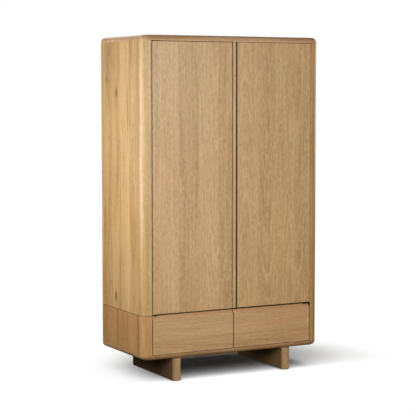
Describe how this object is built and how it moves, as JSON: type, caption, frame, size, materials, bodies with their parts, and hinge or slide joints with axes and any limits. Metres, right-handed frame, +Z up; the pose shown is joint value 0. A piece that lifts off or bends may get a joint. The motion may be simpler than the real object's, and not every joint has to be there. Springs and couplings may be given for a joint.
{
  "type": "armoire",
  "caption": "Tall oak wardrobe with rounded corners, flush pivot-hung doors over wide drawers, raised on panel legs; rod, hat shelf and adjustable shelves inside.",
  "frame": {"origin": "on the floor, in the middle of the overall width and depth", "axes": "+X to the right as seen from the front, +Y to the back, so the doors and drawers face -Y, +Z up"},
  "size_m": [1.2, 0.585, 2.035],
  "materials": {
    "case_oak": "satin clear lacquer on oak, upright grain",
    "front_oak": "satin clear lacquer on oak veneer and oak lippings",
    "rail_oak": "satin clear lacquer on oak, level grain",
    "inner_oak": "matt lacquer on oak veneer",
    "box_wood": "matt lacquer on birch",
    "zinc_steel": "zinc plated",
    "satin_steel": "satin",
    "dark_steel": "black zinc plated",
    "felt_pad": "dense dark pad"
  },
  "bodies": {
    "case": {"top_slab": "case_oak", "bottom_slab": "rail_oak", "upper_left_side": "case_oak", "upper_right_side": "case_oak", "lower_left_side": "case_oak", "lower_right_side": "case_oak", "upper_left_post": "front_oak", "upper_right_post": "front_oak", "lower_left_post": "front_oak", "lower_right_post": "front_oak", "upper_floor": "rail_oak", "drawer_case_top": "rail_oak", "centre_partition": "inner_oak", "centre_stile": "front_oak", "drawer_divider": "box_wood", "upper_back_panel": "inner_oak", "lower_back_panel": "inner_oak", "back_screws": "zinc_steel", "left_leg": "front_oak", "right_leg": "front_oak", "floor_glides": "felt_pad", "leg_bolts": "zinc_steel", "dowels": "box_wood", "case_connectors": "zinc_steel", "hat_shelf": "inner_oak", "hanging_rod": "satin_steel", "rod_sockets": "satin_steel", "shelf_1": "inner_oak", "shelf_2": "inner_oak", "shelf_3": "inner_oak", "shelf_4": "inner_oak", "shelf_pins": "zinc_steel", "stop_battens": "rail_oak", "runner_spacers": "box_wood", "case_runners": "zinc_steel", "door_pivots": "dark_steel", "pivot_screws": "dark_steel", "magnetic_catches": "zinc_steel"},
    "left_door": {"left_door_panel": "front_oak", "left_door_leaves": "dark_steel", "left_strike_plate": "zinc_steel"},
    "right_door": {"right_door_panel": "front_oak", "right_door_leaves": "dark_steel", "right_strike_plate": "zinc_steel"},
    "left_drawer": {"left_drawer_front": "front_oak", "left_drawer_left_side": "box_wood", "left_drawer_right_side": "box_wood", "left_drawer_back": "box_wood", "left_drawer_bottom": "box_wood", "left_drawer_runners": "zinc_steel", "left_drawer_dowels": "box_wood"},
    "right_drawer": {"right_drawer_front": "front_oak", "right_drawer_left_side": "box_wood", "right_drawer_right_side": "box_wood", "right_drawer_back": "box_wood", "right_drawer_bottom": "box_wood", "right_drawer_runners": "zinc_steel", "right_drawer_dowels": "box_wood"},
    "left_middle_runner": {"left_middle_runners": "zinc_steel"},
    "right_middle_runner": {"right_middle_runners": "zinc_steel"}
  },
  "joints": [
    {"name": "left_door_hinge", "type": "hinge", "parent": "case", "child": "left_door", "pos_m": [-0.5165, -0.2845, 1.203], "axis": [0, 0, -1], "range_deg": [0, 110]},
    {"name": "right_door_hinge", "type": "hinge", "parent": "case", "child": "right_door", "pos_m": [0.5185, -0.2845, 1.203], "axis": [0, 0, 1], "range_deg": [0, 110]},
    {"name": "left_drawer_slide", "type": "slide", "parent": "case", "child": "left_drawer", "axis": [0, -1, 0], "range_m": [0, 0.42]},
    {"name": "left_runner_slide", "type": "slide", "parent": "case", "child": "left_middle_runner", "axis": [0, -1, 0], "range_m": [0, 0.21]},
    {"name": "right_drawer_slide", "type": "slide", "parent": "case", "child": "right_drawer", "axis": [0, -1, 0], "range_m": [0, 0.42]},
    {"name": "right_runner_slide", "type": "slide", "parent": "case", "child": "right_middle_runner", "axis": [0, -1, 0], "range_m": [0, 0.21]}
  ],
  "couplings": [
    {"joint": "left_runner_slide", "follows": "left_drawer_slide", "ratio": 0.5},
    {"joint": "right_runner_slide", "follows": "right_drawer_slide", "ratio": 0.5}
  ]
}
